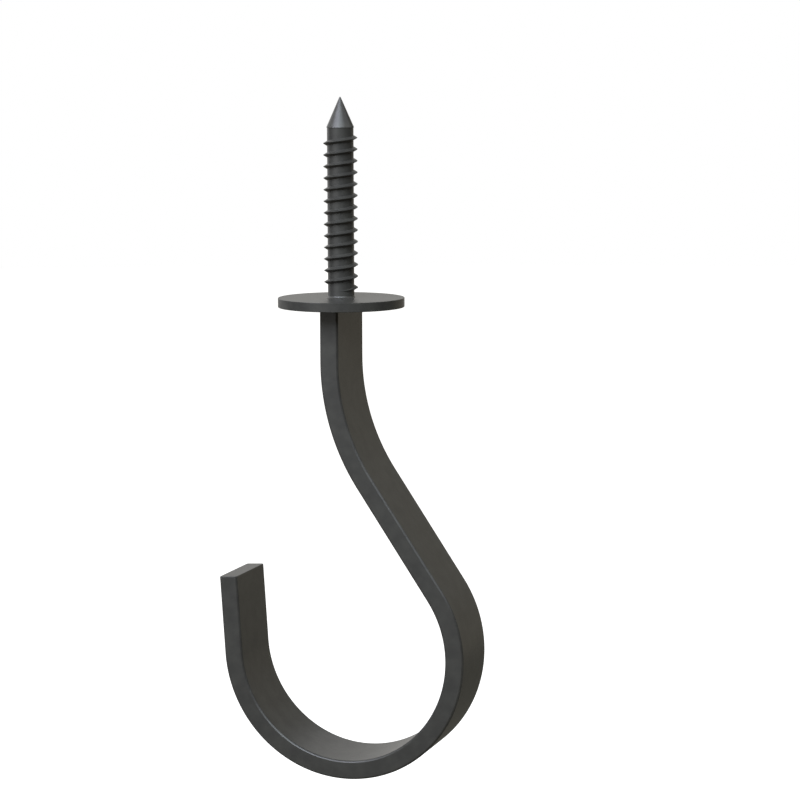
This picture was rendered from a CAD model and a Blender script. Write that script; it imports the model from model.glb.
# %% [markdown]
# # A screw-in ceiling hook in satin black powder coat
#
# The hook is a flat steel bar bent into an open hook. A round flange seats
# against the ceiling, and a lag screw above it is driven up into a joist. All
# of it was welded together first and powder coated afterwards, so one coat
# runs over every piece.
#
# The CAD model is loaded first and stays where it is. Everything made below
# lies in the same frame: the origin is on the screw's axis in the ceiling
# plane, +Z runs up along the screw, the bar is bent in the XZ plane and its
# width lies along Y.

from math import cos, pi, radians, sin, tan

import bmesh
import bpy
from mathutils import Euler, Matrix, Vector


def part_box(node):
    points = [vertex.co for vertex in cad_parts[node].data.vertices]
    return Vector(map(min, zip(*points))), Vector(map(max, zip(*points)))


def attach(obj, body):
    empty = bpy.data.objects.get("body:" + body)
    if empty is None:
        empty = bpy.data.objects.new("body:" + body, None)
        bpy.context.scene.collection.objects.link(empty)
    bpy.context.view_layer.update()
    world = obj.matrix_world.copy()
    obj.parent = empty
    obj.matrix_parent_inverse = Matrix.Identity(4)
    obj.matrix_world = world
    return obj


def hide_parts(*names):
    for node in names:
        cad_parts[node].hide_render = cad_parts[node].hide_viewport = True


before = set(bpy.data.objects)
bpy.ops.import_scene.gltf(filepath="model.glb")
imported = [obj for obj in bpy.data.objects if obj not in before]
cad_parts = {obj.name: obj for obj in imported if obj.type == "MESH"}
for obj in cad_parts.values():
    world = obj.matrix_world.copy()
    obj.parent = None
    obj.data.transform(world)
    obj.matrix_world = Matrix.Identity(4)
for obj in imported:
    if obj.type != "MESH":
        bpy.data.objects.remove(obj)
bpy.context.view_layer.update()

for name in sorted(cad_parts):
    low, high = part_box(name)
    print(name, "is", [round(1000 * (b - a), 1) for a, b in zip(low, high)], "mm")

# %% [markdown]
# ## Sizes
#
# A maker works in millimetres and Blender in metres, so the sizes are written
# once in millimetres and turned to metres where they are used. They are the
# sizes of the steel pieces: bar stock of 17.4 x 4.6 mm, a 30 mm flange and an
# 8 mm lag thread. The flange itself comes from the CAD model, so its place and
# thickness are measured there. RUN_OUT is not a length: it counts turns.

# %% Sizes
MM = 0.001

BAR_T = 4.6 * MM
BAR_W = 17.4 * MM
BAR_EDGE_R = 0.5 * MM
END_EDGE_R = 0.15 * MM
NECK_LEN = 12.7 * MM
NECK_BEND_R = 48.5 * MM
SLOPE = radians(34)
SLOPE_LEN = 31.5 * MM
BOWL_R = 26 * MM
END_LEAN = radians(3.6)
END_LEN = 19.1 * MM

SCREW_LEN = 47.6 * MM
CREST_R = 8.1 * MM / 2
CORE_R = 6.3 * MM / 2
PITCH = 2.74 * MM
FLANK = radians(60)
CREST_W = 0.12 * MM
THREAD_Z = 2.4 * MM
THREAD_START = radians(20)
RUN_OUT = 0.3
ROOT_SINK = 0.25 * MM
POINT_GAP = 2.4 * MM
POINT_R = 6.6 * MM / 2
POINT_HALF = radians(47.5) / 2
POINT_ROUND_R = 0.2 * MM
POINT_BASE_R = 0.03 * MM

# points of a mesh that lie closer than this are one point
SAME_PLACE = 0.0005 * MM

flange_low, flange_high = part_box("ceiling_flange")
CEILING_Z = flange_high[2]
FLANGE_T = flange_high[2] - flange_low[2]
print("flange", round(1000 * FLANGE_T, 2), "mm thick, top at", round(1000 * CEILING_Z, 3))

# %% [markdown]
# ## The camera
#
# A long lens from a little over half a metre keeps the hook's sides almost
# parallel. The camera stands in front and to the right, so that the bar shows
# its narrow side and its broad face, and a little above the flange, so that
# the flange's top shows as a thin ellipse. Its turn is written as yaw, pitch
# and roll, which is how a tripod head is set.

# %% Camera
YAW, PITCH_DOWN, ROLL = radians(19.476), radians(7.517), radians(-0.178)
CAMERA_PLACE = Vector((208.996, -549.090, 52.746)) * MM

# in millimetres, which is what a camera's settings take
LENS, SENSOR_WIDTH = 110.956, 36

camera_data = bpy.data.cameras.new("camera")
camera_data.sensor_width = SENSOR_WIDTH
camera_data.lens = LENS
camera = bpy.data.objects.new("camera", camera_data)
turn = Euler((pi / 2 - PITCH_DOWN, 0, YAW)).to_matrix() @ Matrix.Rotation(ROLL, 3, "Z")
camera.matrix_world = Matrix.Translation(CAMERA_PLACE) @ turn.to_4x4()
bpy.context.collection.objects.link(camera)
bpy.context.scene.camera = camera
print("camera", round(CAMERA_PLACE.length, 3), "m from the screw's foot, lens", LENS, "mm")

# %% [markdown]
# ## Two helpers for nodes
#
# Colours are written as the hex values that a colour picker shows. Those are
# sRGB values, and shaders work in linear light, so one function turns them.
# The other helper adds a node to a tree of any kind, sets it up and links it:
# a value that is another node's output socket becomes a link.


# %% Colour and node helpers
def linear(hex_colour):
    """An sRGB hex colour as linear RGBA."""
    values = [int(hex_colour[i:i + 2], 16) / 255 for i in (1, 3, 5)]
    return [v / 12.92 if v <= 0.04045 else ((v + 0.055) / 1.055) ** 2.4 for v in values] + [1]


def add(tree, kind, inputs=None, **settings):
    """A new node with its settings, and its inputs set or linked."""
    node = tree.nodes.new(kind)
    for setting, value in settings.items():
        setattr(node, setting, value)
    for key, value in (inputs or {}).items():
        if isinstance(value, bpy.types.NodeSocket):
            tree.links.new(value, node.inputs[key])
        else:
            node.inputs[key].default_value = value
    return node


print("#454545 in linear light is", round(linear("#454545")[0], 4))

# %% [markdown]
# ## The finish: satin black powder coat
#
# Powder coat is a resin sprayed on as dry powder and baked at about 180 C until
# it flows. It doesn't level out like a wet paint, so it keeps a low orange
# peel, waves of a millimetre or two that are some ten microns high, and the
# flow leaves faint clouds of darker and lighter tone. A matting agent makes it
# satin: the roughness is near 0.35, and the edges catch a soft line of light.
#
# It could be a plain dark colour, but then the broad faces look like plastic
# film. So three patterns are worked out from real sizes: the clouds, the
# orange peel and a fine grain. The grain is about 0.1 mm on the real coat. It
# is drawn at 0.35 mm, because it would fall between the pixels otherwise.

# %% Powder coat
coat = bpy.data.materials.new("satin_black_powder_coat")
coat.use_nodes = True
tree = coat.node_tree
tree.nodes.clear()

CLOUD_MM, PEEL_MM, GRAIN_MM = 3.2, 1.4, 0.35
PEEL_HEIGHT, GRAIN_HEIGHT = 0.012 * MM, 0.003 * MM
SMOOTHEST, ROUGHEST = 0.32, 0.38

where = add(tree, "ShaderNodeTexCoord").outputs["Object"]
clouds = add(tree, "ShaderNodeTexNoise", {
    "Vector": where, "Scale": 1000 / CLOUD_MM, "Detail": 3, "Roughness": 0.55,
})
peel = add(tree, "ShaderNodeTexNoise", {
    "Vector": where, "Scale": 1000 / PEEL_MM, "Detail": 1, "Roughness": 0.4,
})
grain = add(tree, "ShaderNodeTexNoise", {
    "Vector": where, "Scale": 1000 / GRAIN_MM, "Detail": 2, "Roughness": 0.6,
})
tone = add(tree, "ShaderNodeMapRange", {
    "Value": clouds.outputs["Fac"], "From Min": 0.35, "From Max": 0.65,
})

# a Mix node has inputs of every type: 6 and 7 are its two colours
colour = add(tree, "ShaderNodeMix", {
    "Factor": tone.outputs["Result"], 6: linear("#3B3A37"), 7: linear("#43423E"),
}, data_type="RGBA")
matt = add(tree, "ShaderNodeMapRange", {
    "Value": grain.outputs["Fac"], "From Min": 0.3, "From Max": 0.7,
    "To Min": SMOOTHEST, "To Max": ROUGHEST,
})
peel_bump = add(tree, "ShaderNodeBump", {
    "Height": peel.outputs["Fac"], "Distance": PEEL_HEIGHT, "Strength": 1,
})
grain_bump = add(tree, "ShaderNodeBump", {
    "Height": grain.outputs["Fac"], "Distance": GRAIN_HEIGHT, "Strength": 1,
    "Normal": peel_bump.outputs["Normal"],
})
surface = add(tree, "ShaderNodeBsdfPrincipled", {
    "Base Color": colour.outputs[2], "Roughness": matt.outputs["Result"],
    "Metallic": 0, "IOR": 1.5, "Specular IOR Level": 0.5,
    "Normal": grain_bump.outputs["Normal"],
})
add(tree, "ShaderNodeOutputMaterial", {"Surface": surface.outputs["BSDF"]})
print("coat:", len(tree.nodes), "nodes")

# %% [markdown]
# ## The bar's centre line
#
# A smith bends the bar cold round two formers. So the centre line is only
# straights and arcs: a straight neck, a wide bend outwards, a straight slope,
# the round bowl, and the short upright end. It could be drawn by eye as a
# Bezier curve, but a rule keeps every radius true. A place on the line is a
# point and a heading, the angle from straight down towards +X.


# %% The centre line from straights and bends
def go_straight(line, length):
    """Adds a straight length to the line."""
    x, z, heading = line[-1]
    line.append((x + length * sin(heading), z - length * cos(heading), heading))


def go_round(line, inside_r, angle, side, step=radians(1.5)):
    """Adds a bend to the line, towards +X where side is 1 and towards -X where it is -1."""
    x, z, heading = line[-1]
    r = side * (inside_r + BAR_T / 2)
    steps = round(angle / step)
    for i in range(1, steps + 1):
        new = heading + side * angle * i / steps
        line.append((x + r * (cos(heading) - cos(new)), z + r * (sin(heading) - sin(new)), new))


centre_line = [(0, CEILING_Z - FLANGE_T, 0)]
go_straight(centre_line, NECK_LEN)
go_round(centre_line, NECK_BEND_R, SLOPE, 1)
go_straight(centre_line, SLOPE_LEN)
go_round(centre_line, BOWL_R, SLOPE + pi - END_LEAN, -1)
go_straight(centre_line, END_LEN)

run = sum((Vector(a[:2]) - Vector(b[:2])).length for a, b in zip(centre_line, centre_line[1:]))
print("the bar is cut", round(1000 * run, 1), "mm long,", len(centre_line), "points")

# %% [markdown]
# ## A helper that runs a Geometry Nodes tree
#
# Geometry Nodes work as a modifier. The modifier's inputs are known by their
# identifiers, so the helper looks each one up by name. The result is turned
# into a plain mesh and the object that carried the modifier is deleted.


# %% Geometry Nodes helpers
def new_tree(name, sizes):
    """A tree with a geometry input and output, a number input for each size, and a finish."""
    tree = bpy.data.node_groups.new(name, "GeometryNodeTree")
    tree.interface.new_socket("Geometry", in_out="INPUT", socket_type="NodeSocketGeometry")
    for size in sizes:
        tree.interface.new_socket(size, in_out="INPUT", socket_type="NodeSocketFloat")
    tree.interface.new_socket("Finish", in_out="INPUT", socket_type="NodeSocketMaterial")
    tree.interface.new_socket("Geometry", in_out="OUTPUT", socket_type="NodeSocketGeometry")
    return tree


def close_tree(tree, geometry, finish):
    """Ends a tree: smooth shading, real geometry, the finish and the output."""
    smooth = add(tree, "GeometryNodeSetShadeSmooth", {"Geometry": geometry})
    real = add(tree, "GeometryNodeRealizeInstances", {"Geometry": smooth.outputs[0]})
    done = add(tree, "GeometryNodeSetMaterial", {"Geometry": real.outputs[0], "Material": finish})
    add(tree, "NodeGroupOutput", {"Geometry": done.outputs[0]})


def run_tree(name, mesh, tree, values):
    """The plain mesh that a tree makes from a mesh, as a new object."""
    carrier = bpy.data.objects.new("carrier", mesh)
    bpy.context.collection.objects.link(carrier)
    modifier = carrier.modifiers.new(name, "NODES")
    modifier.node_group = tree
    for item in tree.interface.items_tree:
        if item.in_out == "INPUT" and item.name in values:
            modifier[item.identifier] = values[item.name]
    made = carrier.evaluated_get(bpy.context.evaluated_depsgraph_get())
    plain = bpy.data.meshes.new_from_object(made)
    plain.name = name
    bpy.data.objects.remove(carrier)
    piece = bpy.data.objects.new(name, plain)
    bpy.context.collection.objects.link(piece)
    return piece


print("geometry helpers ready")

# %% [markdown]
# ## The bar, swept along its centre line
#
# The bar has one section all along. It could be extruded step by step, but a
# sweep, a rectangle that follows the centre line, also follows when a radius
# changes. Left to itself the rectangle would twist at the upright parts, where
# a curve has no clear up. The normal is therefore fixed along Y, which is
# square to the whole bend.

# %% Sweep the bar
sweep = new_tree("sweep_flat_bar", ["Thickness", "Width"])
given = add(sweep, "NodeGroupInput").outputs
line = add(sweep, "GeometryNodeMeshToCurve", {"Mesh": given["Geometry"]})
upright = add(sweep, "GeometryNodeSetCurveNormal", {
    "Curve": line.outputs[0], "Normal": (0, 1, 0),
}, mode="FREE")
section = add(sweep, "GeometryNodeCurvePrimitiveQuadrilateral", {
    "Width": given["Width"], "Height": given["Thickness"],
}, mode="RECTANGLE")
swept = add(sweep, "GeometryNodeCurveToMesh", {
    "Curve": upright.outputs[0], "Profile Curve": section.outputs[0], "Fill Caps": True,
})
close_tree(sweep, swept.outputs[0], given["Finish"])

line_mesh = bpy.data.meshes.new("centre_line")
line_mesh.from_pydata(
    [(x, 0, z) for x, z, heading in centre_line],
    [(i, i + 1) for i in range(len(centre_line) - 1)],
    [],
)
bar = run_tree("bent_bar", line_mesh, sweep, {
    "Thickness": BAR_T, "Width": BAR_W, "Finish": coat,
})
print("bar:", len(bar.data.polygons), "faces", [round(1000 * d, 1) for d in bar.dimensions])

# %% [markdown]
# ## Keeping a shape
#
# A bmesh is a mesh on the workbench, where Blender can bevel, spin and merge
# it. The bevel and the spin leave its edges and faces in an order that changes
# from run to run, although the shape is the same. The helper that puts it back
# in its mesh therefore sorts them by the numbers of their first points.


# %% A helper that keeps a shape
def keep_shape(shape, mesh):
    """Puts a finished bmesh in a mesh, in the same order on every run."""
    shape.verts.index_update()
    count = len(shape.verts)

    def rank(part):
        number = 0
        for index in sorted(vert.index for vert in part.verts)[:3]:
            number = number * count + index
        return number

    shape.edges.sort(key=rank)
    shape.faces.sort(key=rank)
    shape.to_mesh(mesh)
    shape.free()


print("bmesh helper ready")

# %% [markdown]
# ## Breaking the bar's edges
#
# Flat bar is rolled with its edges just broken, and powder pulls back from a
# sharp edge, so the long edges carry a radius of half a millimetre. It is that
# small radius which draws the thin bright and dark lines along the bar. A true
# arc would spread those lines, and rolls leave the edge a little flatter in the
# middle, so the bevel's profile lies between an arc and a chamfer. The cut end
# is only deburred, so its edges are crisper, and the top end stands square
# under the flange. The faces beside a rounding keep their own flat normals
# through a Weighted Normal modifier, or they would look pillowed.

# %% Round the edges
# 0.5 is a true arc and 0.25 a flat chamfer
EDGE_PROFILE = 0.36

# edges sharper than CORNER_ANGLE are broken, and those that are then still
# sharper than BAR_SHARP are shaded crisp
CORNER_ANGLE, BAR_SHARP = radians(60), radians(50)
IN_PLANE = 0.01 * MM

shape = bmesh.new()
shape.from_mesh(bar.data)
bmesh.ops.remove_doubles(shape, verts=shape.verts, dist=SAME_PLACE)
bmesh.ops.recalc_face_normals(shape, faces=shape.faces)
end_x, end_z, end_heading = centre_line[-1]
onward = Vector((sin(end_heading), 0, -cos(end_heading)))


def at_top(vert):
    """True for a point of the bar's top end, under the flange."""
    return abs(vert.co.z - centre_line[0][1]) < IN_PLANE


def at_end(vert):
    """True for a point of the bar's cut end."""
    return abs((vert.co - Vector((end_x, 0, end_z))).dot(onward)) < IN_PLANE


def break_edges(picked, radius, segments):
    """Rounds the sharp edges that picked(edge) is true for."""
    edges = [e for e in shape.edges if e.calc_face_angle() > CORNER_ANGLE and picked(e)]
    bmesh.ops.bevel(
        shape, geom=edges, offset=radius, offset_type="OFFSET", segments=segments,
        profile=EDGE_PROFILE, affect="EDGES", clamp_overlap=False,
    )
    print("rounded", len(edges), "edges by", round(1000 * radius, 2), "mm")


break_edges(
    lambda e: not all(map(at_top, e.verts)) and not all(map(at_end, e.verts)),
    BAR_EDGE_R, segments=6,
)
break_edges(lambda e: all(map(at_end, e.verts)), END_EDGE_R, segments=3)
keep_shape(shape, bar.data)
for face in bar.data.polygons:
    face.use_smooth = True
normals = bar.modifiers.new("flat_faces", "WEIGHTED_NORMAL")
normals.mode = "FACE_AREA"
normals.keep_sharp = True
bar.data.set_sharp_from_angle(angle=BAR_SHARP)
print("bar:", len(bar.data.polygons), "faces")

# %% [markdown]
# ## The screw's shank and point
#
# The shank, core and point are round about one axis. A cylinder and a cone
# could be joined, but it is simpler to work as on a lathe: half of the outline
# is drawn once and spun round the axis, which closes the solid by itself. The
# point's base stands a little proud of the core, because a lag screw's thread
# is rolled and the blank swells there. Its edge is broken by a few hundredths
# of a millimetre.

# %% Turn the screw's core
# edges of the screw that are sharper than this are shaded crisp
TURNED_SHARP = radians(35)


def lathe(name, outline, steps=128):
    """A closed solid from half an outline of (radius, height), spun round Z."""
    shape = bmesh.new()
    points = [shape.verts.new((r, 0, z)) for r, z in outline]
    profile = [shape.edges.new(pair) for pair in zip(points, points[1:])]
    bmesh.ops.spin(
        shape, geom=points + profile, cent=(0, 0, 0), axis=(0, 0, 1), angle=2 * pi,
        steps=steps, use_merge=True,
    )
    bmesh.ops.remove_doubles(shape, verts=shape.verts, dist=SAME_PLACE)
    bmesh.ops.recalc_face_normals(shape, faces=shape.faces)
    mesh = bpy.data.meshes.new(name)
    keep_shape(shape, mesh)
    for face in mesh.polygons:
        face.use_smooth = True
    mesh.set_sharp_from_angle(angle=TURNED_SHARP)
    mesh.materials.append(coat)
    piece = bpy.data.objects.new(name, mesh)
    bpy.context.collection.objects.link(piece)
    return piece


def arc(centre, r, start, end, steps):
    """Points of an arc in an outline, from one angle to another."""
    turns = [start + (end - start) * i / steps for i in range(steps + 1)]
    return [(centre[0] + r * cos(t), centre[1] + r * sin(t)) for t in turns]


APEX_Z = SCREW_LEN + POINT_ROUND_R * (1 / sin(POINT_HALF) - 1)
POINT_Z = APEX_Z - POINT_R / tan(POINT_HALF)
tip = arc((0, SCREW_LEN - POINT_ROUND_R), POINT_ROUND_R, POINT_HALF, pi / 2, steps=6)
core = lathe("screw_core", [
    (0, CEILING_Z - FLANGE_T),
    (CORE_R, CEILING_Z - FLANGE_T),
    (CORE_R, POINT_Z - 2 * POINT_BASE_R),
    (POINT_R - 2 * POINT_BASE_R, POINT_Z - POINT_BASE_R),
    (POINT_R, POINT_Z + POINT_BASE_R),
    *tip[:-1],
    (0, SCREW_LEN),
])
print("point starts at", round(1000 * POINT_Z, 2), "mm,", len(core.data.polygons), "faces")

# %% [markdown]
# ## The screw's thread
#
# A lag screw has a coarse single-start right-hand thread: one ridge that winds
# round the core. A Screw modifier could wind it, but the ridge would then end
# in a blunt step. It follows a rule, so Geometry Nodes make it. A spiral of the
# right pitch carries a trapezoid, whose long side lies inside the core and
# whose short side is the sharp crest. At both ends the ridge runs out into the
# core over 0.3 of a turn, as it does where the rolling dies let go, and that is
# the Scale input of Curve to Mesh.

# %% Wind the thread
STEPS_A_TURN = 96

# at this share of its size the ridge is buried in the core
BURIED = 0.11

thread_sizes = {
    "Turns": (POINT_Z - POINT_GAP - THREAD_Z) / PITCH + 2 * RUN_OUT,
    "Pitch": PITCH,
    "Foot Radius": CORE_R - ROOT_SINK,
    "Ridge Height": CREST_R - CORE_R + ROOT_SINK,
    "Crest Width": CREST_W,
    "Foot Width": CREST_W + 2 * (CREST_R - CORE_R + ROOT_SINK) * tan(FLANK / 2),
    "Run Out": RUN_OUT,
    "Start Angle": THREAD_START - 2 * pi * RUN_OUT,
    "Start Height": THREAD_Z - RUN_OUT * PITCH,
}
wind = new_tree("wind_thread", list(thread_sizes))
given = add(wind, "NodeGroupInput").outputs
height = add(wind, "ShaderNodeMath", {
    0: given["Turns"], 1: given["Pitch"],
}, operation="MULTIPLY")
spiral = add(wind, "GeometryNodeCurveSpiral", {
    "Resolution": STEPS_A_TURN, "Rotations": given["Turns"], "Height": height.outputs[0],
    "Start Radius": given["Foot Radius"], "End Radius": given["Foot Radius"], "Reverse": True,
})
steady = add(wind, "GeometryNodeSetCurveNormal", {"Curve": spiral.outputs[0]}, mode="Z_UP")

# the ridge's section: its foot on the spiral, its crest away from the axis
half = add(wind, "ShaderNodeMath", {0: given["Ridge Height"], 1: 0.5}, operation="MULTIPLY")
shift = add(wind, "ShaderNodeCombineXYZ", {"X": half.outputs[0]})
ridge = add(wind, "GeometryNodeCurvePrimitiveQuadrilateral", {
    "Bottom Width": given["Foot Width"], "Top Width": given["Crest Width"],
    "Height": given["Ridge Height"], "Offset": 0,
}, mode="TRAPEZOID")
laid = add(wind, "GeometryNodeTransform", {
    "Geometry": ridge.outputs[0], "Translation": shift.outputs[0],
    "Rotation": (0, 0, -pi / 2),
})

# how far round the thread each point is, from its nearer end, in run-outs
along = add(wind, "GeometryNodeSplineParameter").outputs["Factor"]
back = add(wind, "ShaderNodeMath", {0: 1, 1: along}, operation="SUBTRACT")
near = add(wind, "ShaderNodeMath", {0: along, 1: back.outputs[0]}, operation="MINIMUM")
turns = add(wind, "ShaderNodeMath", {
    0: near.outputs[0], 1: given["Turns"],
}, operation="MULTIPLY")
rise = add(wind, "ShaderNodeMapRange", {
    "Value": turns.outputs[0], "From Min": 0, "From Max": given["Run Out"],
    "To Min": BURIED, "To Max": 1,
})
wound = add(wind, "GeometryNodeCurveToMesh", {
    "Curve": steady.outputs[0], "Profile Curve": laid.outputs[0],
    "Scale": rise.outputs["Result"], "Fill Caps": True,
})
lift = add(wind, "ShaderNodeCombineXYZ", {"Z": given["Start Height"]})
phase = add(wind, "ShaderNodeCombineXYZ", {"Z": given["Start Angle"]})
placed = add(wind, "GeometryNodeTransform", {
    "Geometry": wound.outputs[0], "Translation": lift.outputs[0], "Rotation": phase.outputs[0],
})
close_tree(wind, placed.outputs[0], given["Finish"])

thread = run_tree("screw_thread", bpy.data.meshes.new("no_mesh"), wind, {
    **thread_sizes, "Finish": coat,
})
shape = bmesh.new()
shape.from_mesh(thread.data)
bmesh.ops.remove_doubles(shape, verts=shape.verts, dist=SAME_PLACE)
bmesh.ops.recalc_face_normals(shape, faces=shape.faces)
keep_shape(shape, thread.data)
thread.data.set_sharp_from_angle(angle=TURNED_SHARP)
print("thread:", round(thread_sizes["Turns"], 2), "turns,", len(thread.data.polygons), "faces,",
      [round(1000 * d, 2) for d in thread.dimensions], "mm")

# %% [markdown]
# ## What rides on the frame
#
# The hook has no moving part, so every piece rides on the one root body. The
# swept bar stands for the CAD bar, and the core and the thread together stand
# for the CAD screw. The flange and the weld have the right shape already. They
# stay as they are and only get the coat.

# %% Ride and replace
for piece, node in ((bar, "hook_bar"), (core, "lag_screw"), (thread, "lag_screw")):
    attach(piece, "root")
    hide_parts(node)

for node in ("ceiling_flange", "weld_bead"):
    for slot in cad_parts[node].material_slots:
        slot.material = coat
    print(node, "keeps its CAD shape and takes the coat")

# %% [markdown]
# ## The white room
#
# Everything behind the hook is white. Strong lamps on a white wall would do it,
# but they would also wash out the dark coat. So the world is white only where
# the camera, a reflection or a transmitted ray looks at it. To all else it
# gives a dim and slightly warm fill.


# %% World
def seen_directly(tree):
    """1 for camera, glossy and transmission rays, 0 for the others."""
    path = add(tree, "ShaderNodeLightPath").outputs
    seen = path["Is Camera Ray"]
    for kind in ("Is Glossy Ray", "Is Transmission Ray"):
        seen = add(tree, "ShaderNodeMath", {0: seen, 1: path[kind]}, operation="MAXIMUM").outputs[0]
    return seen


FILL_STRENGTH = 0.2

world = bpy.data.worlds.new("white_room")
bpy.context.scene.world = world
world.use_nodes = True
tree = world.node_tree
tree.nodes.clear()
fill = add(tree, "ShaderNodeBackground", {
    "Color": linear("#FFFAEE"), "Strength": FILL_STRENGTH,
})
white = add(tree, "ShaderNodeBackground", {"Color": linear("#FFFFFF"), "Strength": 1})
room = add(tree, "ShaderNodeMixShader", {
    0: seen_directly(tree), 1: fill.outputs[0], 2: white.outputs[0],
})
add(tree, "ShaderNodeOutputWorld", {"Surface": room.outputs[0]})
print("world:", len(tree.nodes), "nodes")

# %% [markdown]
# ## The floor
#
# The hook hangs in the air, so the floor lies well below it. It could be left
# out, as the room is white below too, but then nothing would catch the hook's
# shadow. So the floor shows white in the same way as the room, and near its
# middle it gives back a part of that white as plain lit paint, and there it
# shows a soft shadow. It is a wide disc, whose rim is white like the room.


# %% Floor
def disc_mesh(name, radius, height, segments=64):
    """A level disc round the screw's axis."""
    shape = bmesh.new()
    bmesh.ops.create_circle(shape, cap_ends=True, segments=segments, radius=radius)
    bmesh.ops.translate(shape, verts=shape.verts, vec=(0, 0, height))
    mesh = bpy.data.meshes.new(name)
    keep_shape(shape, mesh)
    return mesh


# in metres
FLOOR_Z, FLOOR_R = -0.3, 4
SHADOW_R, CLEAR_R = 0.2, 0.55

# how much of its white the floor shows by itself at its middle
MIDDLE_GLOW = 0.75

floor_mesh = disc_mesh("floor", FLOOR_R, FLOOR_Z, segments=96)
floor = bpy.data.objects.new("floor", floor_mesh)
bpy.context.collection.objects.link(floor)

paint = bpy.data.materials.new("pale_floor_paint")
paint.use_nodes = True
tree = paint.node_tree
tree.nodes.clear()
where = add(tree, "ShaderNodeTexCoord").outputs["Object"]
flat = add(tree, "ShaderNodeVectorMath", {0: where, 1: (1, 1, 0)}, operation="MULTIPLY")
reach = add(tree, "ShaderNodeVectorMath", {0: flat.outputs[0]}, operation="LENGTH")
clear = add(tree, "ShaderNodeMapRange", {
    "Value": reach.outputs["Value"], "From Min": SHADOW_R, "From Max": CLEAR_R,
    "To Min": MIDDLE_GLOW, "To Max": 1,
})
glow_level = add(tree, "ShaderNodeMath", {
    0: clear.outputs["Result"], 1: seen_directly(tree),
}, operation="MULTIPLY")
lit = add(tree, "ShaderNodeBsdfDiffuse", {"Color": linear("#EEEEEE")})
glow = add(tree, "ShaderNodeEmission", {"Strength": glow_level.outputs[0]})
both = add(tree, "ShaderNodeAddShader", {0: lit.outputs[0], 1: glow.outputs[0]})
add(tree, "ShaderNodeOutputMaterial", {"Surface": both.outputs[0]})
floor_mesh.materials.append(paint)
print("floor at", FLOOR_Z, "m")

# %% [markdown]
# ## Softboxes
#
# Two large softboxes hang side by side in front of the hook and above the
# camera, both a little cool. They are what the edges and the screw's point
# reflect. A lamp's watts say little about how it looks, so a softbox is given
# by the part of the room that it fills, as the hook sees it, and by how bright
# it looks beside the white room. Its power follows from its brightness and its
# area.

# %% Softboxes
# the middle of the hook, which the lamps face and the cards stand round
AIM = Vector((0, 0, -0.035))

# in degrees, and the distance in metres
SOFTBOX_WIDE, SOFTBOX_HIGH = 45, 33
SOFTBOX_ELEVATION, SOFTBOX_DISTANCE = 41, 0.9


def toward(azimuth, elevation):
    """A direction from the hook, in degrees: azimuth from +X, elevation from level."""
    a, e = radians(azimuth), radians(elevation)
    return Vector((cos(e) * cos(a), cos(e) * sin(a), sin(e)))


def softbox(name, azimuth, brightness, hex_colour):
    """A soft lamp that faces the hook and that the camera doesn't see."""
    lamp = bpy.data.lights.new(name, "AREA")
    lamp.shape = "RECTANGLE"
    lamp.size = 2 * SOFTBOX_DISTANCE * tan(radians(SOFTBOX_WIDE / 2))
    lamp.size_y = 2 * SOFTBOX_DISTANCE * tan(radians(SOFTBOX_HIGH / 2))
    lamp.energy = brightness * pi * lamp.size * lamp.size_y
    lamp.color = linear(hex_colour)[:3]
    box = bpy.data.objects.new(name, lamp)
    away = toward(azimuth, SOFTBOX_ELEVATION)
    box.location = AIM + SOFTBOX_DISTANCE * away
    box.rotation_euler = away.to_track_quat("Z", "Y").to_euler()
    box.visible_camera = False
    bpy.context.collection.objects.link(box)
    print(name, round(lamp.size, 2), "x", round(lamp.size_y, 2), "m,", round(lamp.energy, 1), "W")


softbox("front_left_softbox", azimuth=246, brightness=6.0, hex_colour="#E9EDFF")
softbox("front_softbox", azimuth=291, brightness=4.5, hex_colour="#E9F6FF")

# %% [markdown]
# ## Grey cards
#
# A dark satin coat in an all-white room looks pale and flat, because its broad
# faces mirror the room. A studio puts grey cards just outside the picture to
# give such faces something darker to mirror. One large card lies below the
# hook and darkens what faces down, and a near-black one hangs overhead, which
# the weld's hollow fillet and the rounded edges mirror. The others are curved
# screens round the hook, most of them up to 25 degrees high: a near-black one
# on the left and one on the right, which shape the round screw, and a warm grey
# one behind on the right, which the bar's broad faces mirror. A pale screen
# behind and a near-black one above the warm card keep the faces that look up
# from going white. The cards could be one painted room, but a card can be moved
# on its own.
#
# The camera doesn't see the cards and they throw no shadow: they are there only
# for the reflections and the bounced light.


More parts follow.
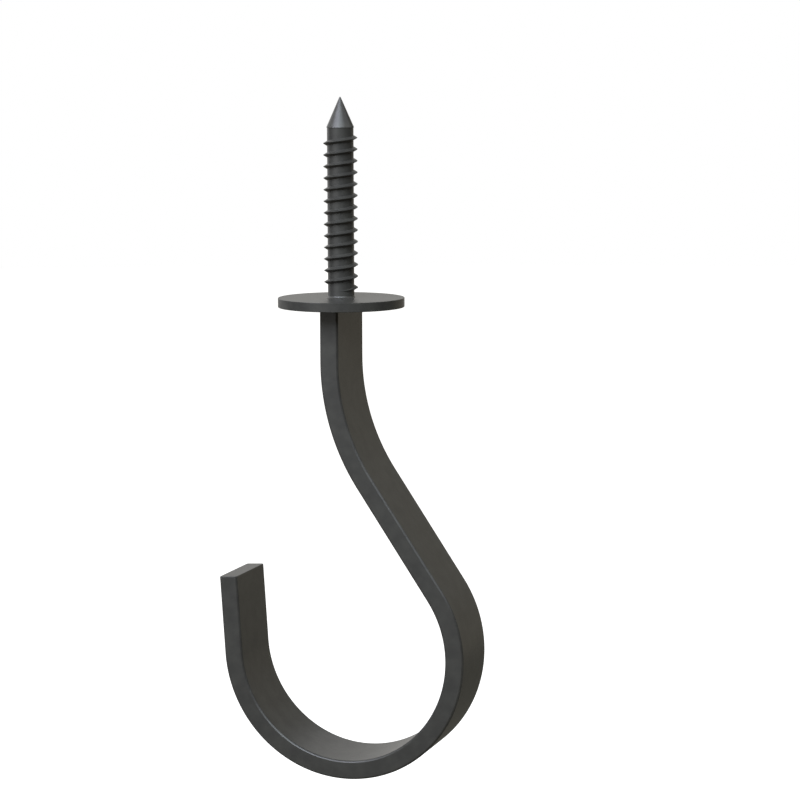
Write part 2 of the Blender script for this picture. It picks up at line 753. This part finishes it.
# %% Cards
def card(name, mesh, hex_colour, level):
    """A stage card that glows dimly, as a lit grey card does, and hides from the camera."""
    grey = bpy.data.materials.new(name + "_grey")
    grey.use_nodes = True
    grey.node_tree.nodes.clear()
    glow = add(grey.node_tree, "ShaderNodeEmission", {
        "Color": linear(hex_colour), "Strength": level,
    })
    add(grey.node_tree, "ShaderNodeOutputMaterial", {"Surface": glow.outputs[0]})
    mesh.materials.append(grey)
    piece = bpy.data.objects.new(name, mesh)
    piece.visible_camera = False
    piece.visible_shadow = False
    bpy.context.collection.objects.link(piece)


# in metres
CARD_DISTANCE = 1
LOW_CARD_R, LOW_CARD_LIFT = 3.9, 0.02
OVERHEAD_CARD_R = 0.62


def screen_mesh(name, start, end, bottom, top, step=7.5):
    """A curved upright strip round the hook, between two azimuths and two elevations."""
    count = round((end - start) / step)
    points = []
    for i in range(count + 1):
        foot = AIM + toward(start + (end - start) * i / count, 0) * CARD_DISTANCE
        for elevation in (bottom, top):
            points.append(foot + Vector((0, 0, CARD_DISTANCE * tan(radians(elevation)))))
    faces = [(2 * i, 2 * i + 1, 2 * i + 3, 2 * i + 2) for i in range(count)]
    mesh = bpy.data.meshes.new(name)
    mesh.from_pydata(points, [], faces)
    return mesh


low_mesh = disc_mesh("low_card", LOW_CARD_R, FLOOR_Z + LOW_CARD_LIFT)
card("low_card", low_mesh, "#FFFBEA", 0.18)
overhead_mesh = disc_mesh("overhead_card", OVERHEAD_CARD_R, AIM.z + CARD_DISTANCE)
card("overhead_card", overhead_mesh, "#FFFFFF", 0.02)

# each screen's name, its azimuths, its elevations, its colour and its glow
screens = (
    ("back_card", 88, 133, -14, 58, "#FFFDF8", 0.685),
    ("left_card", 178, 223, -14, 25, "#FFFFFF", 0.01),
    ("right_card", 268, 403, -14, 25, "#FFE8D0", 0.04),
    ("back_right_card", 403, 448, -14, 25, "#FFF6E2", 0.335),
    ("upper_back_right_card", 403, 448, 25, 58, "#FFFFFF", 0.01),
)
for name, start, end, bottom, top, hex_colour, level in screens:
    card(name, screen_mesh(name, start, end, bottom, top), hex_colour, level)
print("cards: two level ones and", len(screens), "screens")

# %% [markdown]
# ## Colour management and the sizes
#
# The Standard view transform shows a colour as it is written. The last step
# writes down how large the dressed hook is beside the CAD model, because no
# piece may grow past it.

# %% Finish
bpy.context.scene.view_settings.view_transform = "Standard"
